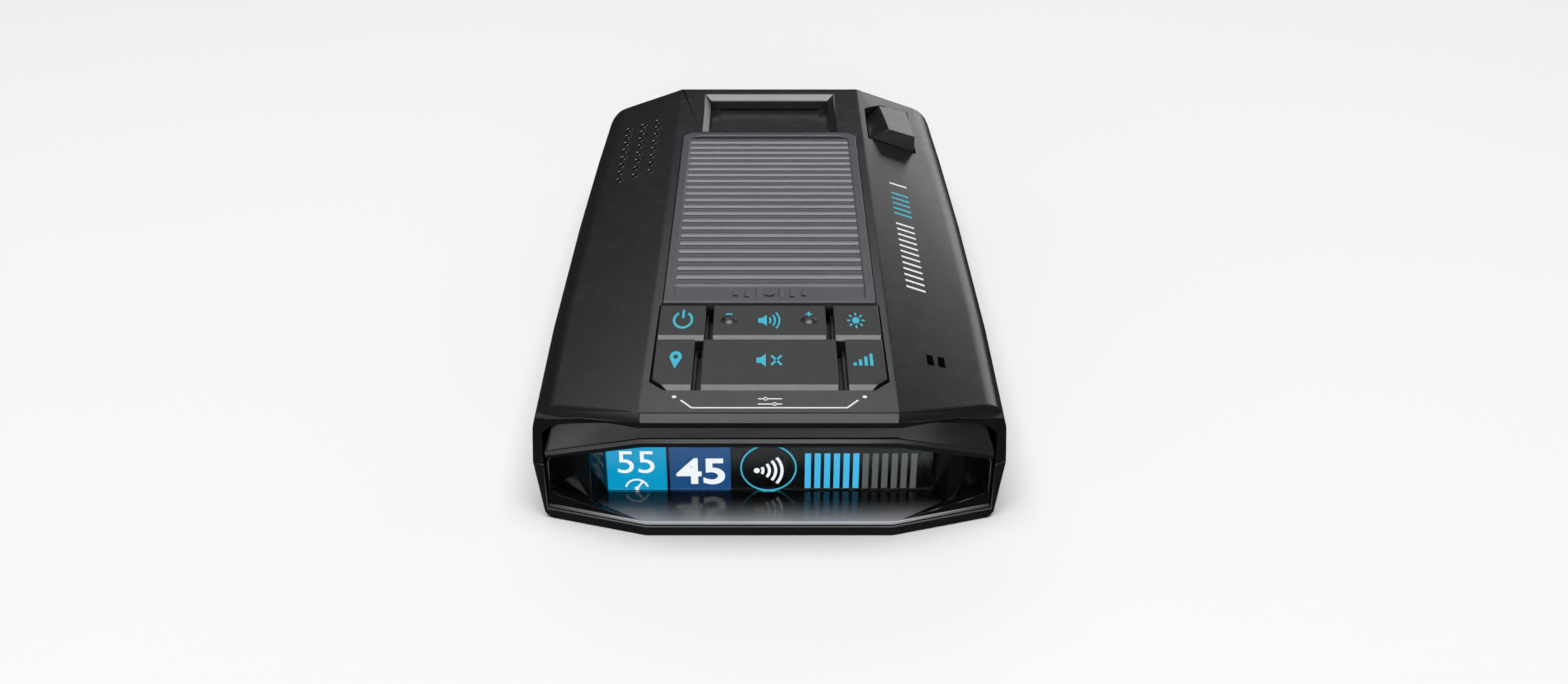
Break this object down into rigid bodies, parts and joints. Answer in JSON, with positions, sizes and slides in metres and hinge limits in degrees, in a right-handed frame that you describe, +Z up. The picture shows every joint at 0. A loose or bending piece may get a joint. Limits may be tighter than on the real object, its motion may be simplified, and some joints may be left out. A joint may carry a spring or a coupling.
{
  "type": "radar detector",
  "caption": "Wedge-shaped windscreen radar detector with a hooded colour display, key pad, ridged antenna cover, speaker grille and a magnetic mount pocket with a release lever.",
  "frame": {"origin": "under the middle of the case, on the surface that it stands on", "axes": "+Z up, the display looks towards -Y, the windscreen end is at +Y, +X is the driver's right"},
  "size_m": [0.078, 0.136, 0.027],
  "materials": {
    "case_top": "satin black moulded plastic",
    "case_bottom": "satin black moulded plastic",
    "hood": "satin dark grey plastic",
    "bezel_gloss": "gloss black",
    "display_glass": "clear, slightly tinted",
    "lcd": "dark display glass with lit graphics",
    "sheet_steel": "tinned steel sheet",
    "flex": "amber polyimide ribbon",
    "cover_grey": "satin mid grey plastic",
    "ceramic": "ceramic with silvered face",
    "circuit_board": "green solder mask",
    "circuit_board_blue": "blue solder mask",
    "chip_black": "moulded epoxy",
    "capacitor_sleeve": "printed sleeve",
    "capacitor_can": "drawn can",
    "connector_ivory": "moulded nylon",
    "clear_plastic": "clear acrylic",
    "led": "white backlight",
    "frame_plastic": "glass filled plastic",
    "key_black": "semi gloss black with lit marks",
    "steel_pin": "ground",
    "cast_zinc": "zinc die casting",
    "smoked_window": "smoked infra-red pass window",
    "cone_paper": "paper cone",
    "magnet_steel": "nickel plated",
    "gasket_foam": "foam",
    "socket_black": "moulded",
    "lever_black": "satin black moulded plastic",
    "spring_bronze": "phosphor bronze strip",
    "latch_steel": "stamped steel",
    "screw_steel": "zinc plated",
    "label_silver": "blank foil label"
  },
  "bodies": {
    "case": {"upper_shell": "case_top", "lower_shell": "case_bottom", "display_hood": "hood", "display_bezel": "bezel_gloss", "display_lens": "display_glass", "lcd_panel": "lcd", "lcd_backlight": "sheet_steel", "lcd_flex": "flex", "gps_cover": "cover_grey", "gps_antenna": "ceramic", "gps_board": "circuit_board", "main_board": "circuit_board", "processor": "chip_black", "memory_chip": "chip_black", "bluetooth_module": "sheet_steel", "backup_capacitor": "capacitor_sleeve", "capacitors": "capacitor_can", "board_connectors": "connector_ivory", "light_sensor": "chip_black", "light_pipe": "clear_plastic", "key_board": "circuit_board", "key_switches": "sheet_steel", "key_leds": "led", "key_frame": "frame_plastic", "volume_pin": "steel_pin", "horn_base": "cast_zinc", "horn_cover": "cast_zinc", "rf_board": "circuit_board_blue", "rf_shield": "sheet_steel", "laser_lens": "clear_plastic", "laser_sensor": "chip_black", "end_window": "smoked_window", "speaker_frame": "frame_plastic", "speaker_cone": "cone_paper", "speaker_magnet": "magnet_steel", "speaker_gasket": "gasket_foam", "power_jack": "socket_black", "earphone_jack": "socket_black", "usb_port": "sheet_steel", "lever_pin": "steel_pin", "lever_spring": "spring_bronze", "mount_magnets": "magnet_steel", "case_screws": "screw_steel", "board_screws": "screw_steel", "rating_label": "label_silver"},
    "power_key": {"key_power": "key_black"},
    "volume_rocker": {"key_volume": "key_black"},
    "brightness_key": {"key_brightness": "key_black"},
    "mark_key": {"key_mark": "key_black"},
    "mute_key": {"key_mute": "key_black"},
    "sensitivity_key": {"key_sensitivity": "key_black"},
    "lever": {"release_lever": "lever_black"},
    "latch": {"mount_latch": "latch_steel"}
  },
  "joints": [
    {"name": "power_press", "type": "slide", "parent": "case", "child": "power_key", "axis": [0, 0, -1], "range_m": [0, 0.0005], "stiffness_N_per_m": 1200},
    {"name": "brightness_press", "type": "slide", "parent": "case", "child": "brightness_key", "axis": [0, 0, -1], "range_m": [0, 0.0005], "stiffness_N_per_m": 1200},
    {"name": "mark_press", "type": "slide", "parent": "case", "child": "mark_key", "axis": [0, 0, -1], "range_m": [0, 0.0005], "stiffness_N_per_m": 1200},
    {"name": "mute_press", "type": "slide", "parent": "case", "child": "mute_key", "axis": [0, 0, -1], "range_m": [0, 0.0005], "stiffness_N_per_m": 1200},
    {"name": "sensitivity_press", "type": "slide", "parent": "case", "child": "sensitivity_key", "axis": [0, 0, -1], "range_m": [0, 0.0005], "stiffness_N_per_m": 1200},
    {"name": "volume_rock", "type": "hinge", "parent": "case", "child": "volume_rocker", "pos_m": [0, -0.0397, 0.0206], "axis": [0, 1, 0], "range_deg": [-2, 2], "stiffness_Nm_per_rad": 0.25},
    {"name": "lever_press", "type": "hinge", "parent": "case", "child": "lever", "pos_m": [0.0282, 0.0591, 0.0203], "axis": [1, 0, 0], "range_deg": [0, 8], "stiffness_Nm_per_rad": 0.3},
    {"name": "latch_slide", "type": "slide", "parent": "case", "child": "latch", "axis": [1, 0, 0], "range_m": [0, 0.0015]}
  ],
  "couplings": [
    {"joint": "latch_slide", "follows": "lever_press", "m_per_rad": 0.01}
  ]
}
